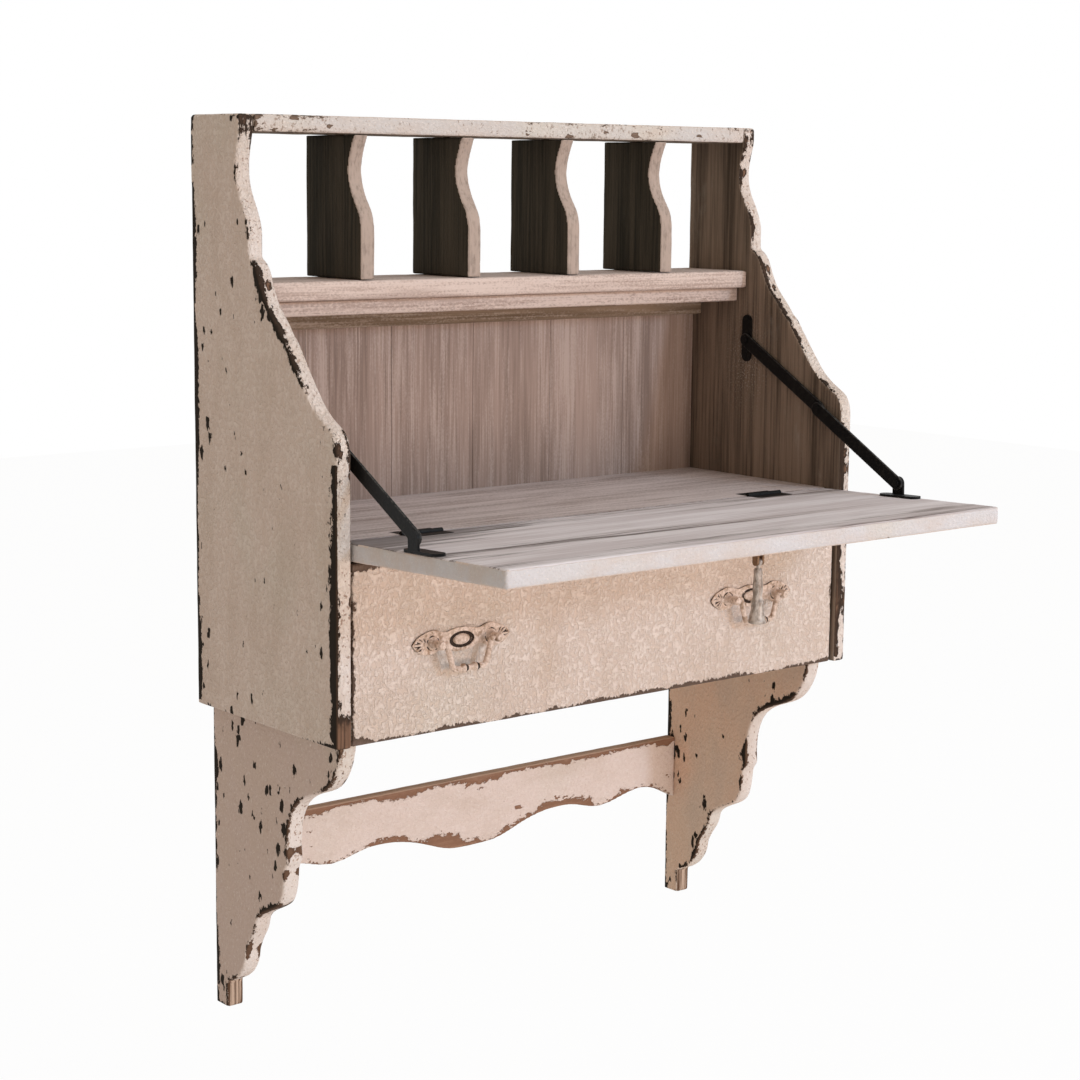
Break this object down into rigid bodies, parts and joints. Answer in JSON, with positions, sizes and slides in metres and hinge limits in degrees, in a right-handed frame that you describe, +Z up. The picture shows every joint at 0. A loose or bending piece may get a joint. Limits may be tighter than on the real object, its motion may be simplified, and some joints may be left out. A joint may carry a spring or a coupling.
{
  "type": "fold down wall desk",
  "caption": "Wall-hung writing desk in chipped paint: scrolled gables, pigeonholes, a fold-down flap on folding stays, a drawer with bail pulls, and shaped brackets joined by a wavy rail.",
  "frame": {"origin": "midway between the two hanger holes, in the plane of the wall", "axes": "+X to the right seen from the front, +Y into the wall, +Z up"},
  "size_m": [0.7, 0.4844, 0.927],
  "materials": {
    "outer_paint": "chipped cream paint on wood",
    "washed_boards": "whitewashed wood",
    "divider_wood": "dark stained, rubbed pale at the front edge",
    "inner_wood": "grey brown wash",
    "flap_wood": "grey wash, streaked along the grain",
    "bare_wood": "bare wood",
    "black_steel": "matte black",
    "painted_casting": "painted over, dark in the hollows",
    "aged_metal": "aged grey metal",
    "brown_metal": "tarnished brown",
    "plain_steel": "plain"
  },
  "bodies": {
    "carcass": {"left_gable": "outer_paint", "right_gable": "outer_paint", "top_board": "outer_paint", "pigeonhole_shelf": "washed_boards", "divider_1": "divider_wood", "divider_2": "divider_wood", "divider_3": "divider_wood", "divider_4": "divider_wood", "flap_stop_rail": "washed_boards", "shelf_cleat": "washed_boards", "back_planks": "inner_wood", "back_nails": "plain_steel", "writing_floor": "inner_wood", "bottom_board": "bare_wood", "left_bracket": "outer_paint", "right_bracket": "outer_paint", "lower_rail": "outer_paint", "carcass_dowels": "bare_wood", "bracket_screws": "plain_steel", "hanger_plates": "plain_steel", "hanger_screws": "plain_steel", "hinge_floor_leaves": "black_steel", "hinge_pins": "black_steel", "hinge_floor_screws": "black_steel", "stay_wall_plates": "black_steel", "stay_wall_rivets": "black_steel", "stay_wall_screws": "black_steel"},
    "drawer": {"drawer_front": "outer_paint", "drawer_left_side": "bare_wood", "drawer_right_side": "bare_wood", "drawer_back": "bare_wood", "drawer_bottom": "bare_wood", "drawer_dowels": "bare_wood", "left_pull_plate": "painted_casting", "right_pull_plate": "painted_casting", "pull_posts": "painted_casting", "pull_nuts": "plain_steel", "pull_plate_pins": "painted_casting"},
    "flap": {"flap_panel": "flap_wood", "hinge_flap_leaves": "black_steel", "hinge_flap_screws": "black_steel", "stay_feet": "black_steel", "stay_foot_rivets": "black_steel", "stay_foot_screws": "black_steel", "drop_pull_mount": "brown_metal", "drop_pull_pin": "brown_metal"},
    "drop_pull": {"drop_pull": "aged_metal"},
    "left_bail": {"left_bail": "painted_casting"},
    "right_bail": {"right_bail": "painted_casting"},
    "left_upper_link": {"left_upper_link": "black_steel", "left_elbow_rivet_tail": "black_steel"},
    "left_lower_link": {"left_lower_link": "black_steel", "left_elbow_rivet_head": "black_steel"},
    "right_upper_link": {"right_upper_link": "black_steel", "right_elbow_rivet_tail": "black_steel"},
    "right_lower_link": {"right_lower_link": "black_steel", "right_elbow_rivet_head": "black_steel"}
  },
  "joints": [
    {"name": "flap_fold", "type": "hinge", "parent": "carcass", "child": "flap", "pos_m": [0, -0.232, -0.362], "axis": [-1, 0, 0], "range_deg": [0, 123.4]},
    {"name": "drawer_slide", "type": "slide", "parent": "carcass", "child": "drawer", "axis": [0, -1, 0], "range_m": [0, 0.14]},
    {"name": "drop_pull_swing", "type": "hinge", "parent": "flap", "child": "drop_pull", "pos_m": [0, -0.46078, -0.38332], "axis": [1, 0, 0], "range_deg": [-35, 75]},
    {"name": "left_bail_swing", "type": "hinge", "parent": "drawer", "child": "left_bail", "pos_m": [-0.2, -0.2646, -0.469], "axis": [-1, 0, 0], "range_deg": [0, 85]},
    {"name": "left_upper_link_turn", "type": "hinge", "parent": "carcass", "child": "left_upper_link", "pos_m": [-0.32945, -0.102, -0.203], "axis": [1, 0, 0], "range_deg": [0, 96.62]},
    {"name": "left_lower_link_turn", "type": "hinge", "parent": "flap", "child": "left_lower_link", "pos_m": [-0.32525, -0.3455, -0.34443], "axis": [1, 0, 0], "range_deg": [0, 77.66]},
    {"name": "right_bail_swing", "type": "hinge", "parent": "drawer", "child": "right_bail", "pos_m": [0.2, -0.2646, -0.469], "axis": [-1, 0, 0], "range_deg": [0, 85]},
    {"name": "right_upper_link_turn", "type": "hinge", "parent": "carcass", "child": "right_upper_link", "pos_m": [0.32945, -0.102, -0.203], "axis": [1, 0, 0], "range_deg": [0, 96.62]},
    {"name": "right_lower_link_turn", "type": "hinge", "parent": "flap", "child": "right_lower_link", "pos_m": [0.32525, -0.3455, -0.34443], "axis": [1, 0, 0], "range_deg": [0, 77.66]}
  ],
  "couplings": [
    {"joint": "left_upper_link_turn", "follows": "flap_fold", "ratio": 0.78135},
    {"joint": "left_lower_link_turn", "follows": "flap_fold", "ratio": 0.62774},
    {"joint": "right_upper_link_turn", "follows": "flap_fold", "ratio": 0.78135},
    {"joint": "right_lower_link_turn", "follows": "flap_fold", "ratio": 0.62774}
  ]
}
